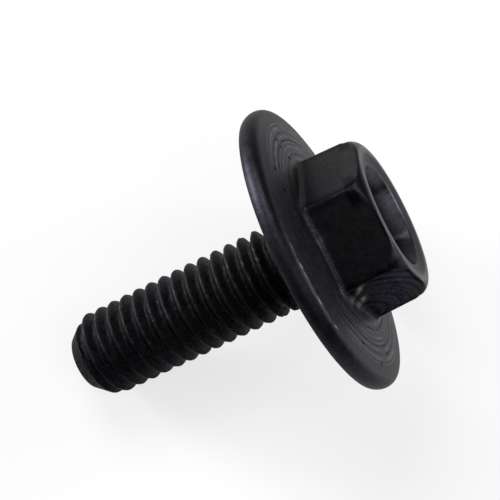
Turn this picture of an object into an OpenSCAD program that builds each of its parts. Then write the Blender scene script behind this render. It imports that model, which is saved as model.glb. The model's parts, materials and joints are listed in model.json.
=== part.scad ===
// Hex flange screw: one forged piece of black steel, lying at rest on its flange and its tip.
// Lengths are in millimetres. Heights on the screw are measured along its axis from the bearing
// face under the flange: the head lies above it and the threaded shank below it.

/* [Thread] */
// Crest diameter of the thread
thread_d = 5.9; // [4.5:0.1:7.5]
// Length of the shank, from the bearing face to the tip
shank_l = 17.6; // [12:0.1:40]
// Diameter of the flat end of the tip
tip_d = 3.9; // [2:0.1:4.4]
// Length of the taper at the tip
tip_l = 1.3; // [0.5:0.05:2.5]
// Radius of the fillet between the shank and the bearing face
neck_r = 0.3; // [0.1:0.05:0.8]

/* [Flange] */
// Diameter of the flange at the widest point of its rim
flange_d = 19.35; // [16:0.05:26]
// Radius of the bulged rim
rim_r = 0.86; // [0.75:0.01:1.1]
// Height of the rim's widest point
rim_h = 0.56; // [0.4:0.01:0.65]
// Drop of the crease, where the top face starts, below the top of the bulged rim
crease_drop = 0.14; // [0.02:0.01:0.3]
// Height of the flange's top face at the hexagon's flats
flange_h = 1.65; // [1.5:0.05:2.4]

/* [Head] */
// Width of the hexagon across its flats, at its foot
hex_af = 9.7; // [9:0.1:13]
// Height of the head's top face
head_h = 5.65; // [4.8:0.05:9]
// Draft of the hexagon's flats
hex_draft = 2; // [0.5:0.5:8]
// Radius that rounds the head's top edge
crown_r = 0.9; // [0.4:0.05:1.3]
// Size of the bevel that joins the hexagon's foot to the flange
foot_bevel = 0.3; // [0.1:0.05:0.6]
// Turn of the hexagon about the axis
hex_turn = 41.1; // [0:0.1:60]

/* [Recess] */
// Width of the recess across its flats
recess_af = 5.9; // [4:0.1:6.8]
// Depth of the recess, from the head's top face
recess_depth = 2; // [1.2:0.1:2.6]
// Size of the bevel round the mouth of the recess
mouth_bevel = 0.5; // [0.1:0.05:0.6]
// Diameter of the shallow dish round the mouth
dish_d = 8.5; // [8:0.1:9]
// Drop of the dish, from its edge to the mouth
dish_drop = 0.2; // [0.05:0.05:0.35]

/* [Rest] */
// Turn of the whole screw about its axis, as it lies
roll = 1.9; // [0:0.1:60]

/* [Hidden] */
$fn = 96;

// Overlap of shapes that are joined, so that no two faces only touch
lap = 0.2;
// How far inside the hexagon's corners the crown starts
corner_trim = 0.14;

thread_r = thread_d / 2;
// Radius of the circle that the middle of the rim's bulge follows
rim_ring_r = flange_d / 2 - rim_r;
// The top face falls from the hexagon's flats to the crease on the bulge
crease_h = rim_h + rim_r - crease_drop;
crease_r = rim_ring_r + sqrt(rim_r ^ 2 - (crease_h - rim_h) ^ 2);
flange_fall = (flange_h - crease_h) / (crease_r - hex_af / 2);

// Radius of the drafted hexagon's corners at the height where the crown starts
crown_h = head_h - crown_r;
crown_corner_r = (hex_af / 2 - (crown_h - flange_h) * tan(hex_draft)) / cos(30);
// The crown starts a little inside those corners, and flares clear of them below
crown_start_r = crown_corner_r - corner_trim;
crown_foot_r = crown_start_r + 0.6 * crown_h;

// At rest the bulged rim and the end of the thread both touch the ground. The axis leans by the
// angle at which the two are equally low.
rest_reach = rim_h + shank_l - tip_l;
rest_drop = rim_ring_r - thread_r;
lean = atan2(rest_drop, rest_reach) + asin(rim_r / norm([rest_drop, rest_reach]));

// Hexagon that narrows upwards from width af by draft degrees on each side
module drafted_hexagon(af, h, draft)
{
  top_half = af / 2 - h * tan(draft);
  intersection_for (side = [0 : 2])
    rotate([90, 0, 30 + 60 * side])
      linear_extrude(2 * af, center = true)
        polygon([[-af / 2, 0], [af / 2, 0], [top_half, h], [-top_half, h]]);
}

// Round envelope of the head: it lets the hexagon's corners be and rounds off its top edge
module crown_envelope()
{
  rotate_extrude()
  {
    polygon([[0, 0], [crown_foot_r, 0], [crown_start_r, crown_h], [0, crown_h]]);
    square([crown_start_r - crown_r, head_h]);
    intersection()
    {
      translate([crown_start_r - crown_r, crown_h]) circle(crown_r);
      square([crown_start_r, head_h]);
    }
  }
}

// Hexagonal recess in the head's top face, with a round bevelled mouth in a shallow dish
module recess()
{
  translate([0, 0, head_h - recess_depth])
    linear_extrude(recess_depth + lap)
      circle(recess_af / 2 / cos(30), $fn = 6);
  mouth_r = recess_af / 2 + mouth_bevel;
  mouth_h = head_h - dish_drop;
  bevel_fall = mouth_bevel + lap;
  rotate_extrude()
    polygon([
      [0, mouth_h - bevel_fall], [mouth_r - bevel_fall, mouth_h - bevel_fall], [mouth_r, mouth_h],
      [dish_d / 2, head_h], [dish_d / 2, head_h + lap], [0, head_h + lap]
    ]);
}

// Hexagonal head: drafted flats, a bevelled foot, a rounded crown and the recess
module hexagon_head()
{
  base_h = flange_h - lap;
  base_af = hex_af + 2 * lap * tan(hex_draft);
  foot_af = hex_af + 2 * (lap + foot_bevel * (1 - tan(hex_draft)));
  difference()
  {
    union()
    {
      intersection()
      {
        translate([0, 0, base_h]) drafted_hexagon(base_af, head_h - base_h + lap, hex_draft);
        crown_envelope();
      }
      translate([0, 0, base_h]) drafted_hexagon(foot_af, foot_bevel + 2 * lap, 45);
    }
    recess();
  }
}

// Round flange: flat bearing face, bulged rim and a top face that falls towards the rim
module flange()
{
  peak_h = flange_h + hex_af / 2 * flange_fall;
  edge_r = flange_d / 2 + lap;
  edge_h = peak_h - edge_r * flange_fall;
  rotate_extrude() intersection()
  {
    union()
    {
      translate([0, -lap]) square([rim_ring_r, peak_h + 2 * lap]);
      translate([rim_ring_r, rim_h]) circle(rim_r);
    }
    polygon([[0, 0], [edge_r, 0], [edge_r, edge_h], [0, peak_h]]);
  }
}

// Shank at the thread's crest diameter, with the tapered tip and the fillet at the neck
module shank()
{
  rotate_extrude() difference()
  {
    polygon([
      [0, -shank_l], [tip_d / 2, -shank_l], [thread_r, tip_l - shank_l],
      [thread_r, -neck_r], [thread_r + neck_r, 0], [thread_r + neck_r, lap], [0, lap]
    ]);
    translate([thread_r + neck_r, -neck_r]) circle(neck_r);
  }
}

module flange_screw()
{
  color("#26262a")
    rotate([0, 90 - lean, 0]) rotate([0, 0, roll])
    {
      shank();
      flange();
      rotate([0, 0, hex_turn]) hexagon_head();
    }
}

flange_screw();
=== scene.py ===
import json
import math

import bmesh
import bpy
from mathutils import Matrix, Vector, noise


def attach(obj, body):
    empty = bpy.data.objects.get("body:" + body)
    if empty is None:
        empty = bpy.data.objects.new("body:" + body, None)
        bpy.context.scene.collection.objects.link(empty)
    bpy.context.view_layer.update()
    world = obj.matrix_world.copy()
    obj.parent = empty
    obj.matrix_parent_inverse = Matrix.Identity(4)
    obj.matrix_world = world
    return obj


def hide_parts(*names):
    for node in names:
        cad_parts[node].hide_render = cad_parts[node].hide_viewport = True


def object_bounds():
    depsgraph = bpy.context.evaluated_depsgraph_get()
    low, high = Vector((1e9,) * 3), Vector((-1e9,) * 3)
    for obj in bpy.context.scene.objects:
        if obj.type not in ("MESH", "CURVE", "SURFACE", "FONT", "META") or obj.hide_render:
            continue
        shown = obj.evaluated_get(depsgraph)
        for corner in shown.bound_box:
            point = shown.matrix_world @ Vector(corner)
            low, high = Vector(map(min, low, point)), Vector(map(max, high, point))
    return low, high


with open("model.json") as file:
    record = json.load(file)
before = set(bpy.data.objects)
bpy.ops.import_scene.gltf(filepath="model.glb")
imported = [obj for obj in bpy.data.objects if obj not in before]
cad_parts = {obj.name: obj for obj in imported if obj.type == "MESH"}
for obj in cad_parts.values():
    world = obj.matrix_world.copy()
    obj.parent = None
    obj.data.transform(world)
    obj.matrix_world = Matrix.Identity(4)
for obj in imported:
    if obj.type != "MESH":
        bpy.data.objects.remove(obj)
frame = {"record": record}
CAD_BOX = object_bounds()
MM = 0.001

# Sizes of the screw in millimetres, along its axis from the bearing face
THREAD_R = 2.95
SHANK_L = 17.6
TIP_R = 1.95
TIP_L = 1.3
NECK_R = 0.3
PITCH = 1.0
THREAD_DEPTH = 0.61
RUNOUT_L = 1.2
FLANK_SLOPE = math.sqrt(3)
CREST_SOFT = 0.05
ROOT_SOFT = 0.12
TIP_SOFT = 0.2
CREST_PHASE = 0.592
FLANGE_R = 9.675
RIM_R = 0.86
RIM_H = 0.56
CREASE_DROP = 0.14
FLANGE_H = 1.65
HEX_HALF = 4.85
HEX_TURN = math.radians(43)
HEAD_H = 5.65
DRAFT = math.tan(math.radians(2))
CROWN_R = 0.9
CORNER_TRIM = 0.14
CORNER_R = 0.45
FOOT_R = 0.3
RECESS_HALF = 2.95
RECESS_DEPTH = 2.0
RECESS_FLOOR_R = 0.2
MOUTH_R = 0.48
MOUTH_FALL = 0.6
LIP_R = 0.12
DISH_R = 4.25
DISH_DROP = 0.2

# Pits in the top face of the flange: distance from the axis, and angle in degrees
PITS = (
    (7.6, 117), (7.1, 118), (7.8, 146), (7.1, 93), (6.2, 117),
    (7.2, 156), (6.0, 283), (7.8, 242), (8.4, 262), (7.8, 276),
)
# The scratched line along the crease: its middle, and its bright specks in degrees
SCAR_ANGLE = math.radians(200)
SPECKS = (186, 193, 197.5, 207, 219)
# The line's section: distance outwards from the crease, and shares of the burr's height and of its shine
SCAR_SECTION = ((0.06, 0.0, 0.0), (0.01, 0.8, 0.6), (-0.04, 1.0, 1.0), (-0.1, 0.2, 0.0), (-0.2, 0.0, 0.0))
# The burr along the foot of the near flat, in degrees, and how far the burrs stand out
SIDE_BURR = 184.5
BURR_OUT = 0.12
# How strongly the top of the crown and the edge of the dish take bare-steel colour, as a painted highlight
CROWN_PAINTED_HIGHLIGHT = 0.78

# Colours of the finish, some of which also paint highlights and shade
BLUE_BLACK = (0.0195, 0.0188, 0.0232, 1)
BROWN_BLACK = (0.0205, 0.0205, 0.0185, 1)
# Bare steel, the colour of real wear, also paints the highlights and glints on the crown, the foot fillet and
# the burrs
BARE_STEEL = (0.13, 0.13, 0.132, 1)
SHEEN = (0.728, 0.732, 0.74, 1)
# A darker slant tint on the lowest flat: a painted shade of its reflection
LOW_FLAT_SHADED_SHEEN = (0.48, 0.475, 0.505, 1)
RELIEF_DEPTH = 0.012
# The flat that lies lowest, and the middle of the arcs on it, from the middle of its foot
LOWEST_FLAT = 3
ARC_MIDDLE = Vector((1.2, -0.4, 1.4))

# Columns round the axis, how far they are drawn towards the hexagon's corners, and rows of the thread
COLUMNS = 240
CORNER_GATHER = 0.65
ROWS_PER_PITCH = 12

RIM_RING_R = FLANGE_R - RIM_R
CREASE_H = RIM_H + RIM_R - CREASE_DROP
CREASE_R = RIM_RING_R + math.sqrt(RIM_R ** 2 - (CREASE_H - RIM_H) ** 2)
FLANGE_FALL = (FLANGE_H - CREASE_H) / (CREASE_R - HEX_HALF)
CROWN_H = HEAD_H - CROWN_R
CROWN_CORNER_R = (HEX_HALF - (CROWN_H - FLANGE_H) * DRAFT) / math.cos(math.radians(30))
CROWN_RING_R = CROWN_CORNER_R - CORNER_TRIM - CROWN_R
LIP_H = HEAD_H - DISH_DROP
RECESS_FLOOR_H = HEAD_H - RECESS_DEPTH
WALL_FOOT = LIP_H - RECESS_FLOOR_H - RECESS_FLOOR_R


def screw_matrix():
    """Turns the screw's own frame, with its axis along +Z, to how it lies in the row frame."""
    mounts = {mount["name"]: mount for mount in frame["record"]["mounts"]}
    axis = -Vector(mounts["thread"]["axis"]).normalized()
    side = Vector((0, 1, 0))
    down = side.cross(axis)
    return Matrix((down, side, axis)).transposed().to_4x4()


# Threaded shank


def tree_input(tree, name, kind, value):
    socket = tree.interface.new_socket(name=name, in_out="INPUT", socket_type=kind)
    return socket.identifier, value


class TreeWriter:
    """Adds nodes to a tree and links them, so that the sums below read in order."""

    def __init__(self, tree):
        self.tree = tree

    def node(self, kind, **settings):
        made = self.tree.nodes.new(kind)
        for key, value in settings.items():
            setattr(made, key, value)
        return made

    def feed(self, socket, value):
        if isinstance(value, bpy.types.NodeSocket):
            self.tree.links.new(value, socket)
        else:
            socket.default_value = value

    def math(self, operation, *values):
        made = self.node("ShaderNodeMath", operation=operation)
        for socket, value in zip(made.inputs, values):
            self.feed(socket, value)
        return made.outputs[0]

    def ease(self, value, start, end):
        """0 below start and 1 above end, with a smooth step between them."""
        made = self.node("ShaderNodeMapRange", interpolation_type="SMOOTHSTEP")
        self.feed(made.inputs["Value"], value)
        made.inputs["From Min"].default_value = start
        made.inputs["From Max"].default_value = end
        return made.outputs[0]

    def scaled(self, value, low, high):
        return self.math("MULTIPLY_ADD", value, high - low, low)

    def noise(self, place, scale, detail, roughness=0.5):
        made = self.node("ShaderNodeTexNoise")
        self.feed(made.inputs["Vector"], place)
        made.inputs["Scale"].default_value = scale
        made.inputs["Detail"].default_value = detail
        made.inputs["Roughness"].default_value = roughness
        return made.outputs[0]

    def blend(self, share, first, second):
        made = self.node("ShaderNodeMix", data_type="RGBA")
        self.feed(made.inputs[0], share)
        self.feed(made.inputs[6], first)
        self.feed(made.inputs[7], second)
        return made.outputs[2]

    def product(self, first, *others):
        for value in others:
            first = self.math("MULTIPLY", first, value)
        return first

    def rest(self, value):
        """What is left of 1."""
        return self.math("SUBTRACT", 1.0, value)

    def tinted(self, shade, zone, change):
        """The shade, raised in a zone by a share of itself, or lowered where the share is negative."""
        return self.math("MULTIPLY", shade, self.math("MULTIPLY_ADD", zone, change, 1.0))

    def times(self, colour, value):
        made = self.node("ShaderNodeVectorMath", operation="SCALE")
        self.feed(made.inputs[0], colour)
        self.feed(made.inputs["Scale"], value)
        return made.outputs[0]


def thread_inputs(tree):
    """The thread's sizes, as named inputs of its tree."""
    return [
        tree_input(tree, "Pitch", "NodeSocketFloat", PITCH * MM),
        tree_input(tree, "Crest Radius", "NodeSocketFloat", THREAD_R * MM),
        tree_input(tree, "Thread Depth", "NodeSocketFloat", THREAD_DEPTH * MM),
        tree_input(tree, "Crest Width", "NodeSocketFloat", PITCH / 8 * MM),
        tree_input(tree, "Shank Length", "NodeSocketFloat", SHANK_L * MM),
        tree_input(tree, "Neck Length", "NodeSocketFloat", NECK_R * MM),
        tree_input(tree, "Tip Radius", "NodeSocketFloat", TIP_R * MM),
        tree_input(tree, "Tip Length", "NodeSocketFloat", TIP_L * MM),
        tree_input(tree, "Runout Length", "NodeSocketFloat", RUNOUT_L * MM),
        tree_input(tree, "Start Angle", "NodeSocketFloat", HEX_TURN),
        tree_input(tree, "Start Height", "NodeSocketFloat", thread_start() * MM),
        tree_input(tree, "Turns", "NodeSocketInt", thread_turns()),
        tree_input(tree, "Columns", "NodeSocketInt", COLUMNS),
        tree_input(tree, "Rows Per Pitch", "NodeSocketInt", ROWS_PER_PITCH),
    ]


def flat_sheet(w, given):
    """A square sheet of rows and columns, which is then bent into the shank."""
    grid = w.node("GeometryNodeMeshGrid")
    w.feed(grid.inputs["Size X"], 1.0)
    w.feed(grid.inputs["Size Y"], 1.0)
    w.feed(grid.inputs["Vertices X"], w.math("ADD", given["Columns"], 1))
    rows = w.math("MULTIPLY", given["Turns"], given["Rows Per Pitch"])
    w.feed(grid.inputs["Vertices Y"], w.math("ADD", rows, 1))
    return grid.outputs["Mesh"]


def thread_drop(w, given, turn, below_neck):
    """How far the thread's profile lies below its crest; the groove runs out at the neck."""
    off_crest = w.math("SUBTRACT", w.math("FRACT", w.math("ADD", turn, 0.5)), 0.5)
    off_crest = w.math("MULTIPLY", w.math("ABSOLUTE", off_crest), given["Pitch"])
    down_flank = w.math("SUBTRACT", off_crest, w.math("MULTIPLY", given["Crest Width"], 0.5))
    down_flank = w.math("MULTIPLY", down_flank, FLANK_SLOPE)
    down_flank = w.math("SMOOTH_MAX", down_flank, 0.0, CREST_SOFT * MM)
    fade = w.math("DIVIDE", below_neck, given["Runout Length"])
    fade = w.math("MINIMUM", w.math("MAXIMUM", w.math("SUBTRACT", fade, 0.35), 0.0), 1.0)
    depth = w.math("MULTIPLY", given["Thread Depth"], fade)
    drop = w.math("SMOOTH_MIN", down_flank, depth, ROOT_SOFT * MM)
    return w.math("MAXIMUM", w.math("MINIMUM", drop, depth), 0.0)


def tip_cone(w, given, above_tip):
    """Radius of the taper at the tip."""
    taper = w.math("SUBTRACT", given["Crest Radius"], given["Tip Radius"])
    taper = w.math("DIVIDE", taper, given["Tip Length"])
    return w.math("ADD", given["Tip Radius"], w.math("MULTIPLY", above_tip, taper))


def shank_point(w, given):
    """Place of each point of the sheet, once it is bent round the axis with rows that climb."""
    place = w.node("ShaderNodeSeparateXYZ")
    w.feed(place.inputs[0], w.node("GeometryNodeInputPosition").outputs[0])
    around = w.math("ADD", place.outputs["X"], 0.5)
    turn = w.math("MULTIPLY", w.math("ADD", place.outputs["Y"], 0.5), given["Turns"])
    climb = w.math("MULTIPLY", w.math("ADD", turn, around), given["Pitch"])
    height = w.math("ADD", given["Start Height"], climb)
    tip_end = w.math("MULTIPLY", given["Shank Length"], -1.0)
    neck_end = w.math("MULTIPLY", given["Neck Length"], -1.0)
    height = w.math("MINIMUM", w.math("MAXIMUM", height, tip_end), neck_end)
    drop = thread_drop(w, given, turn, w.math("SUBTRACT", neck_end, height))
    radius = w.math("SUBTRACT", given["Crest Radius"], drop)
    cone = tip_cone(w, given, w.math("SUBTRACT", height, tip_end))
    radius = w.math("SMOOTH_MIN", radius, cone, TIP_SOFT * MM)
    angle = w.math("ADD", given["Start Angle"], w.math("MULTIPLY", around, math.tau))
    point = w.node("ShaderNodeCombineXYZ")
    w.feed(point.inputs["X"], w.math("MULTIPLY", radius, w.math("COSINE", angle)))
    w.feed(point.inputs["Y"], w.math("MULTIPLY", radius, w.math("SINE", angle)))
    w.feed(point.inputs["Z"], height)
    return point.outputs[0]


def thread_tree(material):
    """A tube of rows that climb with the thread, so that every row keeps its place on the profile."""
    tree = bpy.data.node_groups.new("thread_turns", "GeometryNodeTree")
    inputs = thread_inputs(tree)
    tree.interface.new_socket(name="Geometry", in_out="OUTPUT", socket_type="NodeSocketGeometry")
    w = TreeWriter(tree)
    given = w.node("NodeGroupInput").outputs
    bend = w.node("GeometryNodeSetPosition")
    w.feed(bend.inputs["Geometry"], flat_sheet(w, given))
    w.feed(bend.inputs["Position"], shank_point(w, given))
    weld = w.node("GeometryNodeMergeByDistance")
    w.feed(weld.inputs["Geometry"], bend.outputs[0])
    w.feed(weld.inputs["Distance"], 0.001 * MM)
    shade = w.node("GeometryNodeSetShadeSmooth")
    w.feed(shade.inputs["Geometry"], weld.outputs[0])
    whole = w.node("GeometryNodeRealizeInstances")
    w.feed(whole.inputs["Geometry"], shade.outputs[0])
    coat = w.node("GeometryNodeSetMaterial")
    w.feed(coat.inputs["Geometry"], whole.outputs[0])
    coat.inputs["Material"].default_value = material
    w.feed(w.node("NodeGroupOutput").inputs[0], coat.outputs[0])
    return tree, inputs


def thread_start():
    """Height of a crest at the first column, at least one pitch below the tip."""
    crest = CREST_PHASE + PITCH * HEX_TURN / math.tau
    return crest - PITCH * math.ceil((crest + SHANK_L) / PITCH + 1)


def thread_turns():
    return math.ceil((-NECK_R - thread_start()) / PITCH)


def threaded_shank(material):
    tree, inputs = thread_tree(material)
    blank = bpy.data.objects.new("shank_blank", bpy.data.meshes.new("shank_blank"))
    bpy.context.scene.collection.objects.link(blank)
    modifier = blank.modifiers.new("thread_turns", "NODES")
    modifier.node_group = tree
    for identifier, value in inputs:
        modifier[identifier] = value
    graph = bpy.context.evaluated_depsgraph_get()
    mesh = bpy.data.meshes.new_from_object(blank.evaluated_get(graph))
    bpy.data.objects.remove(blank)
    return mesh


# Head and flange, as rings from the neck over the rim and the hexagon down into the recess


def column_angle(column, gather):
    """Angle of a column; gather draws the columns towards the hexagon's corners."""
    step = column / COLUMNS
    bunch = gather * math.sin(6 * math.tau * step) / (6 * math.tau)
    return HEX_TURN + math.tau * (step - bunch)


def hexagon_reach(angle, half, corner_r):
    """Distance from the axis to a hexagon with rounded corners."""
    sixth = math.radians(60)
    off_corner = (angle - HEX_TURN + sixth / 2) % sixth - sixth / 2
    off_flat = math.radians(30) - abs(off_corner)
    centre = (half - corner_r) / math.cos(math.radians(30))
    edge = math.atan2((half - corner_r) * math.tan(math.radians(30)), half)
    if off_flat < edge:
        return half / math.cos(off_flat)
    across = centre * math.sin(off_corner)
    return centre * math.cos(off_corner) + math.sqrt(max(corner_r ** 2 - across ** 2, 0))


def flange_top(radius):
    return FLANGE_H + (HEX_HALF - radius) * FLANGE_FALL


def span(count, start=0.0, end=1.0):
    return [start + (end - start) * i / count for i in range(count + 1)]


def smaller(a, b, blend):
    """The smaller of two values, with the change between them eased over blend."""
    near = max(blend - abs(a - b), 0) / blend
    return min(a, b) - near ** 3 * blend / 6


def hump(value, middle, width):
    """1 at the middle, falling to nothing on both sides."""
    return math.exp(-((value - middle) / width) ** 2)


class Ring:
    """One row of the head: radius and height for every column, and its share of bare-steel colour, which is
    real wear in some places and painted highlights and glints in others.
    """

    def __init__(self, gather, place, wear_and_highlight=0.0):
        self.gather = gather
        self.place = place
        self.wear_and_highlight = wear_and_highlight


def neck_and_bearing_rings():
    rings = []
    for turn in span(6, 0, math.pi / 2):
        r = THREAD_R + NECK_R * (1 - math.cos(turn))
        z = NECK_R * (math.sin(turn) - 1)
        rings.append(Ring(0, lambda a, r=r, z=z: (r, z)))
    edge = RIM_RING_R + math.sqrt(RIM_R ** 2 - RIM_H ** 2)
    for part in span(6)[1:]:
        r = THREAD_R + NECK_R + (edge - 0.06 - THREAD_R - NECK_R) * part
        rings.append(Ring(0, lambda a, r=r: (r, 0.0)))
    return rings


def flange_skin(radius, angle):
    """Height of the flange inside the widest point of its rim: the bulge runs softly into the top face."""
    over = radius - RIM_RING_R
    bulge = RIM_H + math.sqrt(max(RIM_R ** 2 - max(over, 0.0) ** 2, 0)) + 0.35 * max(-over, 0.0)
    return smaller(bulge, flange_top(radius), 0.5 - 0.2 * scar(angle))


def rim_rings():
    """The lower part of the flange's bulged rim."""
    rings = []
    low = -math.asin(RIM_H / RIM_R)
    for turn in span(16, low + 0.06, math.radians(15)):
        r = RIM_RING_R + RIM_R * math.cos(turn)
        z = RIM_H + RIM_R * math.sin(turn)
        rings.append(Ring(0.1, lambda a, r=r, z=z: (r, z)))
    return rings


def scar(angle):
    """How strongly the scratched line along the crease shows: most on the side where it was dragged."""
    off = math.remainder(angle - SCAR_ANGLE, math.tau)
    return math.exp(-(off / 0.42) ** 2)


def speck(angle):
    """Bright specks on the scratched line."""
    degrees = math.degrees(angle) % 360
    return sum(hump(degrees, middle, 0.9) for middle in SPECKS)


def crease_rings():
    """From the bulge over the crease, with the thin burr of the scratched line on it."""
    rings = []
    edge = math.acos((CREASE_R + 0.06 - RIM_RING_R) / RIM_R)
    for turn in span(9, math.radians(15), edge)[1:-1]:
        r = RIM_RING_R + RIM_R * math.cos(turn)
        rings.append(Ring(0.2, lambda a, r=r: (r, flange_skin(r, a))))
    for out, lift, wear_and_highlight in SCAR_SECTION:

        def place(a, out=out, lift=lift):
            way = Vector((math.cos(a), math.sin(a), 0))
            burr = scar(a) * (0.02 + 0.02 * noise.noise(way * 9) + 0.03 * noise.noise(way * 31))
            r = CREASE_R + out + 0.05 * noise.noise(way * 5)
            return r, flange_skin(r, a) + lift * max(burr, 0.0)

        rings.append(Ring(0.3, place, lambda a, wear_and_highlight=wear_and_highlight: wear_and_highlight * (0.06 * scar(a) + 1.2 * speck(a))))
    return rings


def flange_top_rings():
    """The flange's top face, from the crease in to the hexagon's foot."""
    rings = []
    for part in span(24)[1:-1]:
        gather = 0.3 + 0.35 * part

        def place(a, part=part):
            start = CREASE_R - 0.2
            foot = hexagon_reach(a, HEX_HALF + FOOT_R, CORNER_R + FOOT_R)
            r = start + (foot - start) * part
            return r, flange_skin(r, a) + 0.1 * lump(a, r)

        # Bare-steel colour: a painted glint at the foot of the burr, and the painted highlight of the foot
        # fillet on the innermost rings
        def wear_and_highlight(a, part=part, place=place):
            return max(0.8 * lump(a, place(a)[0]), foot_highlight(a) * hump(part, 1.0, 0.05))

        rings.append(Ring(gather, place, wear_and_highlight))
    return rings


def hexagon_half(height):
    """Half the width across the drafted flats, at a height."""
    return HEX_HALF - (height - FLANGE_H) * DRAFT


def lump(angle, radius):
    """Foot of the burr along the near flat, where it lies on the flange."""
    return hump(math.degrees(angle) % 360, SIDE_BURR, 2.4) * hump(radius, 5.2, 0.2)


def nick(angle, height):
    """Slanting burrs at the foot, past the struck corner: bumps in the mesh, with a painted glint in
    bare-steel colour on them.
    """
    degrees = math.degrees(angle) % 360
    corner = hump(degrees, 224 + 9 * (2.8 - height), 2.4) * hump(height, 2.25, 0.45)
    beside = hump(degrees, 241 + 8 * (2.3 - height), 3.0) * hump(height, 2.0, 0.3)
    return min(corner + beside, 1.0)


def side_burr(angle, height):
    """The burr along the near flat, at its foot."""
    return hump(math.degrees(angle) % 360, SIDE_BURR, 2.2) * hump(height, 1.65, 0.22)


def foot_highlight(angle):
    """Share of bare-steel colour on the fillet at the foot: a painted highlight, strongest along the near
    flat.
    """
    degrees = math.degrees(angle) % 360
    return 0.06 + 1.1 * hump(degrees, 181, 22)


def foot_rings():
    """The fillet from the flange up to the hexagon's flats."""
    rings = []
    for turn in span(8, 0, math.pi / 2):
        out = FOOT_R * (1 - math.sin(turn))
        up = FOOT_R * (1 - math.cos(turn))

        def place(a, out=out, up=up):
            r = hexagon_reach(a, HEX_HALF - up * DRAFT + out, CORNER_R + out)
            z = flange_top(r) + up
            return r + BURR_OUT * max(nick(a, z), side_burr(a, z)), z

        # Bare-steel colour: the painted highlight along the fillet, and painted glints on the burrs
        def wear_and_highlight(a, turn=turn, place=place):
            z = place(a)[1]
            return max(foot_highlight(a) * hump(turn, 0.25, 0.5), 3 * nick(a, z), 0.9 * side_burr(a, z))

        rings.append(Ring(CORNER_GATHER, place, wear_and_highlight))
    return rings


def flat_rings():
    """The hexagon's drafted flats, from the fillet to just below the crown."""
    rings = []
    for part in span(16)[1:]:

        def place(a, part=part):
            start = flange_top(hexagon_reach(a, HEX_HALF - FOOT_R * DRAFT, CORNER_R)) + FOOT_R
            z = start + (CROWN_H - 0.25 - start) * part
            burr = max(nick(a, z), side_burr(a, z))
            return hexagon_reach(a, hexagon_half(z), CORNER_R) + BURR_OUT * burr, z

        # Bare-steel colour on the slanting burrs: a painted glint
        rings.append(Ring(CORNER_GATHER, place, lambda a, place=place: 3 * nick(a, place(a)[1])))
    return rings


def crown_rings():
    """The rounded top edge of the head, where a round envelope trims the hexagon."""
    rings = []
    for turn in span(22, math.radians(-16), math.pi / 2)[1:]:

        def place(a, turn=turn):
            z = CROWN_H + CROWN_R * math.sin(turn)
            crown = CROWN_RING_R + CROWN_R * math.cos(max(turn, 0))
            if turn < 0:
                crown = CROWN_RING_R + CROWN_R + 0.6 * -turn * CROWN_R
            return smaller(crown, hexagon_reach(a, hexagon_half(z), CORNER_R), 0.15), z

        # Bare-steel colour near the top of the crown: a painted highlight
        rings.append(Ring(CORNER_GATHER, place, CROWN_PAINTED_HIGHLIGHT * min(max((turn - 1.25) / 0.12, 0), 1)))
    return rings


def dish_height(radius):
    """Height of the shallow dish that falls from the rim of the crown to the mouth."""
    fall = DISH_DROP / (DISH_R - RECESS_HALF - MOUTH_R)
    return HEAD_H - fall * (DISH_R - radius)


def recess_reach(angle, below):
    """Distance from the axis to the recess: a round mouth that runs out into the six flats below it."""
    share = 1 - math.exp(-below / MOUTH_FALL)
    mouth = RECESS_HALF + MOUTH_R - 0.15 * below
    flats = hexagon_reach(angle, RECESS_HALF + 0.12 - 0.28 * below, 0.6)
    return mouth + (flats - mouth) * share


def dish_rings():
    """The top of the crown, and the shallow dish inside it down to the lip of the recess."""
    rings = []
    for part in span(4)[1:]:
        r = CROWN_RING_R + (DISH_R - CROWN_RING_R) * part
        # Bare-steel colour on the top of the crown: a painted highlight
        rings.append(Ring(CORNER_GATHER, lambda a, r=r: (r, HEAD_H), CROWN_PAINTED_HIGHLIGHT))
    for part in span(9)[1:]:

        def place(a, part=part):
            r = DISH_R + (recess_reach(a, 0) + LIP_R - DISH_R) * part
            return r, dish_height(r)

        # The painted highlight runs out over the edge of the dish
        rings.append(Ring(CORNER_GATHER, place, CROWN_PAINTED_HIGHLIGHT * max(1 - 5 * part, 0)))
    return rings


def lip_rings():
    """The rounded lip of the recess."""
    rings = []
    for turn in span(5, 0, math.pi / 2)[1:]:

        def place(a, turn=turn):
            below = LIP_R * (1 - math.cos(turn))
            soft = LIP_R * (1 - math.sin(turn))
            rise = dish_height(recess_reach(a, 0) + LIP_R) - LIP_H
            return recess_reach(a, below) + soft, LIP_H - below + rise * math.cos(turn)

        rings.append(Ring(CORNER_GATHER, place))
    return rings


def recess_wall_rings():
    rings = []
    for part in span(12)[1:]:

        def place(a, part=part):
            below = LIP_R + (WALL_FOOT - LIP_R) * part
            return recess_reach(a, below), LIP_H - below

        rings.append(Ring(CORNER_GATHER, place))
    return rings


def recess_floor_rings():
    """The rounded edge of the recess's floor, and the floor up to the axis."""
    rings = []
    for turn in span(5, 0, math.pi / 2)[1:]:
        inset = RECESS_FLOOR_R * (1 - math.cos(turn))
        z = RECESS_FLOOR_H + RECESS_FLOOR_R * (1 - math.sin(turn))
        rings.append(Ring(CORNER_GATHER, lambda a, inset=inset, z=z: (recess_reach(a, WALL_FOOT) - inset, z)))
    for part in span(6)[1:-1]:

        def place(a, part=part):
            return (recess_reach(a, WALL_FOOT) - RECESS_FLOOR_R) * (1 - part), RECESS_FLOOR_H

        rings.append(Ring(CORNER_GATHER, place))
    return rings


def tip_rings():
    """The flat end of the tip, from its edge inwards."""
    rings = []
    for part in span(6)[:-1]:
        r = TIP_R * (1 - part)
        rings.append(Ring(0, lambda a, r=r: (r, -SHANK_L)))
    return rings


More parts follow.
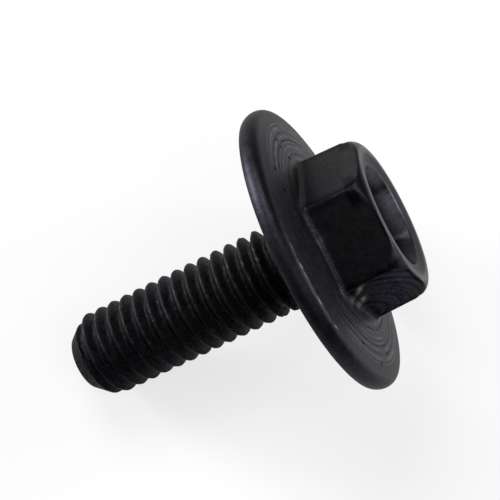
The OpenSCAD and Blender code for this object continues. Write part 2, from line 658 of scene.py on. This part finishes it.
def add_rings(bm, rings, pole_height, inside_out):
    """Joins rings in order with quads, and the last ring to a pole on the axis."""
    wear_and_highlight_layer = bm.verts.layers.float["wear_and_highlight"]
    rows = []
    for ring in rings:
        row = []
        for column in range(COLUMNS):
            angle = column_angle(column, ring.gather)
            r, z = ring.place(angle)
            vert = bm.verts.new(Vector((r * math.cos(angle), r * math.sin(angle), z)) * MM)
            vert[wear_and_highlight_layer] = ring.wear_and_highlight(angle) if callable(ring.wear_and_highlight) else ring.wear_and_highlight
            row.append(vert)
        rows.append(row)
    pole = bm.verts.new((0, 0, pole_height * MM))
    for low, high in zip(rows, rows[1:]):
        for i in range(COLUMNS):
            j = (i + 1) % COLUMNS
            corners = (low[i], low[j], high[j], high[i])
            bm.faces.new(corners[::-1] if inside_out else corners)
    for i in range(COLUMNS):
        j = (i + 1) % COLUMNS
        corners = (rows[-1][i], rows[-1][j], pole)
        bm.faces.new(corners[::-1] if inside_out else corners)


def dent(place, on_crest):
    """Share by which the thread is knocked in: most on its crests and towards the head."""
    below_neck = min(max((-place.z - NECK_R) / 0.4, 0), 1)
    above_tip = min(max((place.z + SHANK_L) / 0.4, 0), 1)
    near_head = min(max(1.1 + place.z / 9, 0), 1)
    knock = max(noise.noise(place * 1.3) - 0.1, 0) + 0.3 * max(noise.noise(place * 4.0), 0)
    rough = max(0.5 + noise.noise(place * 2.1) + 0.7 * noise.noise(place * 5.0), 0)
    deep = 0.04 * knock * on_crest * (0.25 + 0.75 * near_head) + 0.018 * rough * (0.2 + 0.8 * near_head)
    return deep * below_neck * above_tip


def whole_screw(material):
    shank = threaded_shank(material)
    bm = bmesh.new()
    bm.from_mesh(shank)
    wear_and_highlight_layer = bm.verts.layers.float.new("wear_and_highlight")
    for vert in bm.verts:
        on_crest = min(max(1 + (vert.co.xy.length / MM - THREAD_R) / 0.15, 0), 1)
        chipped = max(noise.noise(vert.co / MM * 2.2) - 0.2, 0)
        vert[wear_and_highlight_layer] = on_crest * (0.08 + 0.9 * chipped)
        vert.co.xy *= 1 - dent(vert.co / MM, on_crest)
    head = neck_and_bearing_rings() + rim_rings() + crease_rings() + flange_top_rings()
    head += foot_rings() + flat_rings() + crown_rings()
    head += dish_rings() + lip_rings() + recess_wall_rings() + recess_floor_rings()
    add_rings(bm, head, RECESS_FLOOR_H, False)
    add_rings(bm, tip_rings(), -SHANK_L, True)
    bmesh.ops.remove_doubles(bm, verts=bm.verts, dist=0.002 * MM)
    bmesh.ops.recalc_face_normals(bm, faces=bm.faces)
    for face in bm.faces:
        face.smooth = True
    bm.transform(screw_matrix())
    mesh = bpy.data.meshes.new("flange_screw_body")
    bm.to_mesh(mesh)
    bm.free()
    mesh.materials.clear()
    mesh.materials.append(material)
    mesh.set_sharp_from_angle(angle=math.radians(50))
    piece = bpy.data.objects.new("flange_screw_body", mesh)
    bpy.context.scene.collection.objects.link(piece)
    return piece


# Black finish of the steel


def toward_flat(number):
    """Direction of one of the hexagon's flats, counted from the first corner."""
    angle = HEX_TURN + math.radians(30 + 60 * number)
    return Vector((math.cos(angle), math.sin(angle), 0))


def screw_place(w):
    """Millimetres in the screw's own frame, with its axis along Z."""
    turned = w.node("ShaderNodeMapping", vector_type="TEXTURE")
    w.feed(turned.inputs["Vector"], w.node("ShaderNodeTexCoord").outputs["Object"])
    turned.inputs["Rotation"].default_value = screw_matrix().to_euler()
    turned.inputs["Scale"].default_value = (MM, MM, MM)
    return turned.outputs[0]


class Spot:
    """Where a point lies on the screw, in millimetres, and the noises that blotch the finish there."""

    def __init__(self, w):
        self.place = screw_place(w)
        split = w.node("ShaderNodeSeparateXYZ")
        w.feed(split.inputs[0], self.place)
        self.under = split.outputs["X"]
        self.side = split.outputs["Y"]
        self.height = split.outputs["Z"]
        across = w.math("MULTIPLY", self.under, self.under)
        across = w.math("MULTIPLY_ADD", self.side, self.side, across)
        self.radius = w.math("SQRT", across)
        self.cloud = w.noise(self.place, 0.3, 2.0)
        self.blotch = w.noise(self.place, 1.7, 3.0, 0.6)
        self.grain = w.noise(self.place, 5.0, 3.0, 0.65)
        self.dust = w.math("SUBTRACT", w.noise(self.place, 8.0, 2.0, 0.7), 0.5)


class Zones:
    """Parts of the screw that differ in finish, and parts that carry painted light and shade: each zone is 1
    on its part and 0 elsewhere.
    """

    def __init__(self, w, spot):
        height = spot.height
        radius = spot.radius
        # The near side carries painted shade on the rim and in the reflection, besides a bluer oxide and
        # fainter turning rings
        self.near_side = w.ease(w.math("MULTIPLY", spot.under, -1.0), 4.5, 8.0)
        below_head = w.rest(w.ease(height, 1.66, 1.74))
        self.top = w.product(w.ease(height, 1.1, 1.25), w.ease(radius, 5.2, 5.5), below_head)
        bearing = w.rest(w.ease(w.math("ABSOLUTE", height), 0.03, 0.08))
        bearing = w.product(bearing, w.ease(radius, 3.4, 3.7))
        self.faced = w.math("MAXIMUM", self.top, bearing)
        self.flange = w.math("SUBTRACT", w.ease(radius, 4.9, 5.6), w.ease(height, 1.7, 2.0))
        self.flange = w.math("MAXIMUM", self.flange, 0.0)
        self.head = w.product(w.ease(height, 1.75, 2.0), w.ease(radius, 4.2, 4.6))
        self.shank = w.rest(w.ease(height, -0.4, -0.1))
        self.tip = w.rest(w.ease(height, -SHANK_L + 0.6, -SHANK_L + 1.2))
        # The thread's crests on the lower side, which get painted shade
        self.crest = w.product(self.shank, w.ease(radius, 2.7, 2.9))
        self.crest = w.product(self.crest, w.ease(w.math("MULTIPLY", spot.side, -1.0), -1.5, 1.5))
        facing = w.node("ShaderNodeVectorMath", operation="DOT_PRODUCT")
        w.feed(facing.inputs[0], spot.place)
        facing.inputs[1].default_value = toward_flat(LOWEST_FLAT)
        self.low_flat = w.product(w.ease(height, 1.62, 1.74), w.ease(facing.outputs["Value"], 4.45, 4.7))


def line_noise(w, along, scale, roughness):
    """Noise that changes along one measure only, so that it draws lines across it."""
    made = w.node("ShaderNodeTexNoise", noise_dimensions="1D")
    w.feed(made.inputs["W"], along)
    made.inputs["Scale"].default_value = scale
    made.inputs["Detail"].default_value = 2.0
    made.inputs["Roughness"].default_value = roughness
    return made.outputs[0]


def away_from(w, spot, point):
    """Distance from a point on the screw."""
    made = w.node("ShaderNodeVectorMath", operation="DISTANCE")
    w.feed(made.inputs[0], spot.place)
    made.inputs[1].default_value = point
    return made.outputs["Value"]


def turned_rings(w, spot, zones):
    """Rings left by turning, on the top face of the flange and on its bearing face."""
    wander = w.math("MULTIPLY_ADD", spot.blotch, 0.25, spot.radius)
    lines = w.ease(line_noise(w, wander, 3.6, 0.6), 0.33, 0.62)
    rings = w.product(w.math("SUBTRACT", lines, 0.5), zones.faced)
    rings = w.product(rings, w.scaled(w.ease(w.noise(spot.place, 0.7, 2.0), 0.35, 0.65), 0.4, 1.6))
    fading = w.math("MAXIMUM", w.product(zones.near_side, 0.92), w.ease(spot.radius, 8.2, 8.9))
    return w.product(rings, w.rest(fading))


def swept_arcs(w, spot, zones):
    """Arcs drawn over the flat that lies lowest."""
    middle = toward_flat(LOWEST_FLAT) * HEX_HALF + ARC_MIDDLE
    wander = w.math("MULTIPLY_ADD", spot.blotch, 0.4, away_from(w, spot, middle))
    arcs = w.ease(line_noise(w, wander, 3.2, 0.5), 0.3, 0.7)
    return w.product(w.math("SUBTRACT", arcs, 0.5), zones.low_flat)


def flange_pits(w, spot, zones):
    """Pits in the top face of the flange."""
    pit = 0.0
    for radius, degrees in PITS:
        angle = math.radians(degrees)
        point = (radius * math.cos(angle), radius * math.sin(angle), flange_top(radius))
        ragged = w.math("MULTIPLY_ADD", spot.grain, 0.25, away_from(w, spot, point))
        pit = w.math("MAXIMUM", pit, w.rest(w.ease(ragged, 0.2, 0.32)))
    return w.product(pit, zones.top)


def oxide_colour(w, spot, zones):
    """Black oxide, in clouds of a bluer and a browner black."""
    cloud = w.math("MULTIPLY_ADD", zones.flange, -0.12, spot.cloud)
    cloud = w.math("MULTIPLY_ADD", zones.near_side, -0.12, cloud)
    return w.blend(w.ease(cloud, 0.45, 0.62), BLUE_BLACK, BROWN_BLACK)


def head_painted_light_and_shade(w, spot, zones, shade):
    """Painted light and shade on the hexagon and the crown: the head is lightened, its corner edges and a
    band round the crown get painted shade, and the corners on one side get painted shade lower down and
    painted light higher up.
    """
    height = spot.height
    radius = spot.radius
    shade = w.tinted(shade, zones.head, 0.2)
    edges = w.product(zones.head, w.ease(radius, 5.2, 5.4))
    shade = w.tinted(shade, edges, -0.3)
    corners = w.product(w.ease(height, 4.3, 4.6), w.ease(radius, 4.9, 5.1))
    corners = w.product(corners, w.rest(w.ease(height, 5.3, 5.45)), w.ease(spot.side, -2.5, 0.0))
    shade = w.tinted(shade, corners, w.scaled(w.ease(height, 5.0, 5.25), -0.72, 0.25))
    crown = w.math("SUBTRACT", w.ease(height, 5.36, 5.48), w.ease(height, 5.57, 5.62))
    crown = w.product(crown, w.ease(radius, 4.3, 4.45))
    return w.tinted(shade, crown, -0.6)


def recess_painted_light_and_shade(w, spot, shade):
    """Painted shade in the recess, deepest towards its floor, and painted light towards its top and its upper
    side.
    """
    inside = w.math("SUBTRACT", w.ease(spot.height, 3.4, 3.6), w.ease(spot.radius, 3.3, 3.7))
    inside = w.math("MAXIMUM", inside, 0.0)
    deep = w.scaled(w.ease(spot.height, 4.0, 5.3), 0.12, 2.0)
    deep = w.product(deep, w.scaled(w.ease(spot.side, -2.5, 3.0), 0.85, 1.5))
    return w.tinted(shade, inside, w.math("SUBTRACT", deep, 1.0))


def shank_dust_and_painted_shade(w, spot, zones, shade):
    """The shank is darker, with painted shade on the crests of its lower side, and dusty."""
    shade = w.tinted(shade, zones.shank, -0.15)
    shade = w.tinted(shade, zones.crest, -0.55)
    return w.tinted(shade, w.product(spot.dust, zones.shank), 4.0)


def rim_painted_light_and_shade(w, spot, zones, shade):
    """Painted light on the rim, and painted shade on its near side, most of it beyond the crease."""
    shade = w.tinted(shade, w.ease(spot.radius, 8.8, 9.3), 0.2)
    near_top = w.product(zones.near_side, w.ease(spot.height, 0.9, 1.15))
    shade = w.tinted(shade, near_top, -0.1)
    beyond = w.product(w.ease(spot.height, 0.75, 1.0), w.ease(spot.radius, 9.15, 9.3), zones.near_side)
    return w.tinted(shade, beyond, -0.4)


def steel_colour(w, spot, zones, marks):
    """The oxide in its shades, with painted light and shade in them, and bare-steel colour: real wear on the
    thread's crests and the scratched crease, painted highlights on the crown and the foot fillet, and painted
    glints on the burrs.
    """
    shade = w.product(w.scaled(spot.blotch, 0.55, 1.45), w.scaled(spot.grain, 0.3, 1.7))
    shade = w.tinted(shade, marks["pits"], -0.75)
    shade = w.tinted(shade, marks["rings"], 0.55)
    shade = w.tinted(shade, marks["arcs"], 0.6)
    shade = head_painted_light_and_shade(w, spot, zones, shade)
    shade = recess_painted_light_and_shade(w, spot, shade)
    shade = shank_dust_and_painted_shade(w, spot, zones, shade)
    shade = rim_painted_light_and_shade(w, spot, zones, shade)
    oxide = w.times(oxide_colour(w, spot, zones), shade)
    fleck = w.ease(w.noise(spot.place, 2.6, 2.0, 0.7), 0.5, 0.62)
    # Bare-steel share from the mesh: real wear, painted highlights and painted glints, lowered by painted
    # shade on the lower crests of the thread
    bare_wear_and_highlight = w.node("ShaderNodeAttribute", attribute_name="wear_and_highlight").outputs["Fac"]
    bare_wear_and_highlight = w.tinted(w.product(bare_wear_and_highlight, w.scaled(fleck, 0.5, 0.9)), zones.crest, -0.6)
    return w.blend(bare_wear_and_highlight, oxide, BARE_STEEL)


def steel_sheen(w, spot, zones, marks):
    """Tint of the steel where it is seen at a slant: a painted shade of the reflection on the lowest flat and
    on the near side, a painted brighter reflection at the ends of the flange's top face, and duller on the
    hexagon's flats and at the tip.
    """
    sheen = w.blend(zones.low_flat, SHEEN, LOW_FLAT_SHADED_SHEEN)
    flats = w.product(zones.head, w.rest(w.ease(spot.height, 4.3, 4.7)))
    duller = w.math("MULTIPLY_ADD", zones.near_side, -0.12, w.math("MULTIPLY_ADD", flats, -0.11, 1.0))
    ends = w.product(w.ease(w.math("ABSOLUTE", spot.side), 5.0, 8.0), zones.top)
    sheen = w.times(sheen, w.math("MULTIPLY_ADD", ends, 0.06, duller))
    gloss = w.math("MULTIPLY_ADD", marks["arcs"], 0.07, 1.0)
    gloss = w.math("MULTIPLY_ADD", marks["rings"], 0.38, gloss)
    gloss = w.product(gloss, w.math("MULTIPLY_ADD", marks["pits"], -0.3, w.scaled(spot.grain, 0.96, 1.04)))
    gloss = w.tinted(gloss, w.product(spot.dust, zones.shank), 1.2)
    gloss = w.tinted(gloss, zones.tip, -0.2)
    return w.times(sheen, gloss)


def steel_relief(w, spot, zones, marks):
    """Fine relief: grain, rings and pits, and a coarser skin on the shank."""
    relief = w.math("MULTIPLY_ADD", marks["rings"], 0.9, w.product(spot.grain, 0.5))
    relief = w.math("MULTIPLY_ADD", marks["pits"], -2.5, relief)
    relief = w.math("MULTIPLY_ADD", w.product(zones.shank, spot.blotch), 1.2, relief)
    relief = w.math("MULTIPLY_ADD", w.product(zones.shank, spot.dust), 1.6, relief)
    bump = w.node("ShaderNodeBump")
    bump.inputs["Strength"].default_value = 1.0
    bump.inputs["Distance"].default_value = RELIEF_DEPTH * MM
    w.feed(bump.inputs["Height"], w.tinted(relief, zones.shank, 3.0))
    return bump.outputs[0]


def black_oxide():
    material = bpy.data.materials.new("black_oxide_steel")
    material.use_nodes = True
    material.node_tree.nodes.clear()
    w = TreeWriter(material.node_tree)
    spot = Spot(w)
    zones = Zones(w, spot)
    marks = {
        "rings": turned_rings(w, spot, zones),
        "arcs": swept_arcs(w, spot, zones),
        "pits": flange_pits(w, spot, zones),
    }
    coat = w.node("ShaderNodeBsdfPrincipled")
    coat.inputs["Metallic"].default_value = 1.0
    w.feed(coat.inputs["Base Color"], steel_colour(w, spot, zones, marks))
    w.feed(coat.inputs["Specular Tint"], steel_sheen(w, spot, zones, marks))
    rough = w.math("MULTIPLY_ADD", zones.head, -0.12, w.scaled(spot.blotch, 0.42, 0.54))
    w.feed(coat.inputs["Roughness"], w.math("MULTIPLY_ADD", zones.shank, 0.04, rough))
    w.feed(coat.inputs["Normal"], steel_relief(w, spot, zones, marks))
    w.feed(w.node("ShaderNodeOutputMaterial").inputs["Surface"], coat.outputs[0])
    return material


# Floor, light and camera


def white_paper():
    """White paper that takes the screw's shadow, and looks nearly white to the camera and in the metal."""
    material = bpy.data.materials.new("white_paper")
    material.use_nodes = True
    material.node_tree.nodes.clear()
    w = TreeWriter(material.node_tree)
    paper = w.node("ShaderNodeBsdfDiffuse")
    paper.inputs["Color"].default_value = (0.9, 0.9, 0.9, 1)
    plain = w.node("ShaderNodeEmission")
    plain.inputs["Strength"].default_value = 1.0
    path = w.node("ShaderNodeLightPath")
    seen = w.math("MAXIMUM", path.outputs["Is Camera Ray"], path.outputs["Is Glossy Ray"])
    seen = w.math("MAXIMUM", seen, path.outputs["Is Transmission Ray"])
    mix = w.node("ShaderNodeMixShader")
    w.feed(mix.inputs[0], w.math("MULTIPLY", seen, 0.72))
    w.feed(mix.inputs[1], paper.outputs[0])
    w.feed(mix.inputs[2], plain.outputs[0])
    w.feed(w.node("ShaderNodeOutputMaterial").inputs["Surface"], mix.outputs[0])
    return material


def floor_sheet():
    bm = bmesh.new()
    bmesh.ops.create_grid(bm, x_segments=1, y_segments=1, size=1.5)
    low = CAD_BOX[0].z
    bmesh.ops.translate(bm, verts=bm.verts, vec=(0, 0, low))
    mesh = bpy.data.meshes.new("floor")
    bm.to_mesh(mesh)
    bm.free()
    mesh.materials.append(white_paper())
    floor = bpy.data.objects.new("floor", mesh)
    bpy.context.scene.collection.objects.link(floor)


def toward(azimuth, elevation):
    a = math.radians(azimuth)
    e = math.radians(elevation)
    return Vector((math.sin(a) * math.cos(e), -math.cos(a) * math.cos(e), math.sin(e)))


def lamp(name, azimuth, elevation, distance, size, power, colour=(1, 1, 1)):
    light = bpy.data.lights.new(name, "AREA")
    light.shape = "DISK"
    light.size = size
    light.energy = power
    light.color = colour
    holder = bpy.data.objects.new(name, light)
    way = toward(azimuth, elevation)
    holder.location = way * distance
    holder.rotation_euler = way.to_track_quat("Z", "Y").to_euler()
    bpy.context.scene.collection.objects.link(holder)


def studio():
    world = bpy.data.worlds.new("studio")
    world.use_nodes = True
    bpy.context.scene.world = world
    world.node_tree.nodes["Background"].inputs["Color"].default_value = (1, 1, 1, 1)
    world.node_tree.nodes["Background"].inputs["Strength"].default_value = 0.06
    lamp("right_low_lamp", 82, 11, 0.3, 0.1, 0.8)
    lamp("left_low_lamp", 222, 11, 0.3, 0.1, 1.15, (0.94, 0.97, 1.0))
    lamp("back_lamp", 180, 48, 0.3, 0.16, 0.5)
    lamp("front_lamp", 45, 58, 0.3, 0.16, 0.18)
    lamp("overhead_lamp", 0, 90, 0.3, 0.34, 0.15)


def photo_camera():
    """The camera stands over the screw; its shifts and its distance from the origin are millimetres."""
    azimuth = -22.285
    elevation = 77.675
    distance = 80.0
    right_shift = 4.166
    up_shift = -0.09
    back = toward(azimuth, elevation)
    a = math.radians(azimuth)
    right = Vector((math.cos(a), math.sin(a), 0))
    up = back.cross(right)
    camera = bpy.data.cameras.new("camera")
    camera.sensor_width = 36
    camera.lens = 90.39
    camera.clip_start = 0.001
    holder = bpy.data.objects.new("camera", camera)
    turn = Matrix((right, up, back)).transposed().to_4x4()
    place = (back * distance - right * right_shift - up * up_shift) * MM
    holder.matrix_world = Matrix.Translation(place) @ turn
    bpy.context.scene.collection.objects.link(holder)
    bpy.context.scene.camera = holder


steel = black_oxide()
screw = whole_screw(steel)
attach(screw, "root")
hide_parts("flange_screw")
floor_sheet()
studio()
photo_camera()
bpy.context.scene.view_settings.view_transform = "Standard"
